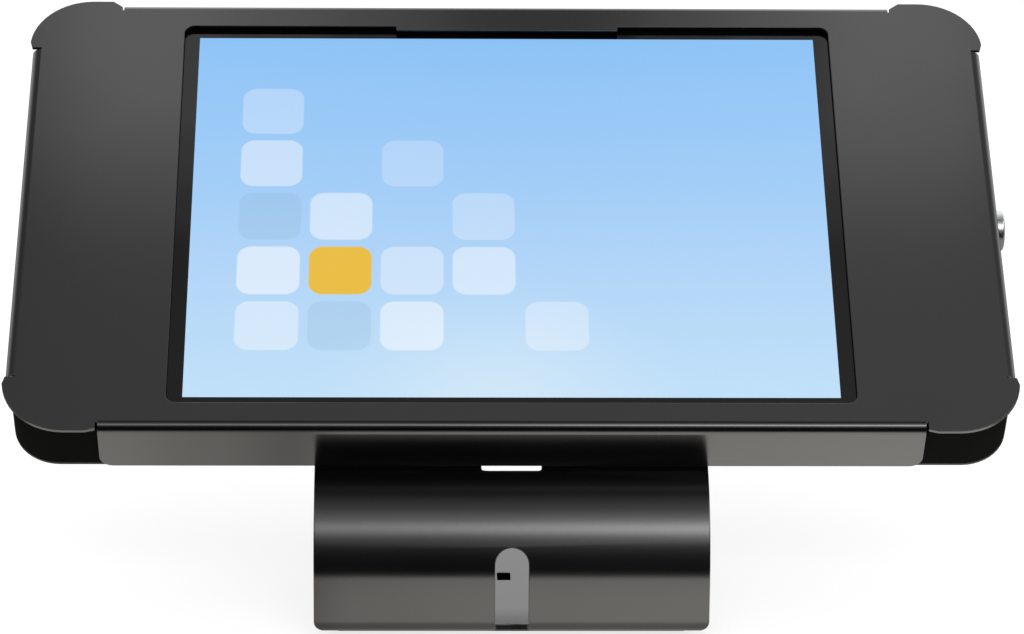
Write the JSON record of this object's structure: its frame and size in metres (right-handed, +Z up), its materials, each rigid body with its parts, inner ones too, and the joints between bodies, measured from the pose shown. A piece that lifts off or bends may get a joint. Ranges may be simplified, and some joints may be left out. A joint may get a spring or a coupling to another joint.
{
  "type": "tablet security kiosk stand",
  "caption": "Desk kiosk for a tablet: a tilted black steel enclosure with a hook-on locking cover on a bent steel bracket with a cable notch.",
  "frame": {"origin": "centre of the four desk bolts, on the desk under the base pad", "axes": "+X to the viewer's right, +Y away from the viewer, +Z up"},
  "size_m": [0.3061, 0.1599, 0.1641],
  "materials": {
    "black_steel": "satin black powder coat",
    "moulded_black": "matt moulded",
    "rubber_pad": "fine grain",
    "foam": "closed-cell foam",
    "zinc_steel": "zinc plated",
    "black_screw": "black oxide",
    "chrome": "polished",
    "tablet_metal": "fine blasted",
    "display": "lit panel",
    "tablet_glass": "polished"
  },
  "bodies": {
    "stand": {"stand_bracket": "black_steel", "base_pad": "rubber_pad", "bracket_screws": "zinc_steel", "bracket_nuts": "zinc_steel", "rear_tray": "black_steel", "corner_lower_left": "moulded_black", "corner_lower_right": "moulded_black", "corner_upper_left": "moulded_black", "corner_upper_right": "moulded_black", "corner_screws": "black_screw", "foam_left": "foam", "foam_right": "foam", "foam_rests": "foam", "lock_strike": "zinc_steel", "strike_rivets": "zinc_steel", "tablet_shell": "tablet_metal", "tablet_display": "display", "tablet_glass": "tablet_glass"},
    "cover": {"front_cover": "black_steel", "window_gasket": "foam", "lock_housing": "chrome", "lock_nut": "zinc_steel"},
    "lock": {"lock_plug": "chrome", "lock_cam": "zinc_steel", "cam_screw": "zinc_steel"}
  },
  "joints": [
    {"name": "cover_swing", "type": "hinge", "parent": "stand", "child": "cover", "pos_m": [-0.1497, 0.02748, 0.1001], "axis": [0, -0.8192, -0.5736], "range_deg": [0, 35]},
    {"name": "lock_turn", "type": "hinge", "parent": "cover", "child": "lock", "pos_m": [0.1514, 0.02411, 0.10491], "axis": [1, 0, 0], "range_deg": [0, 90]}
  ]
}
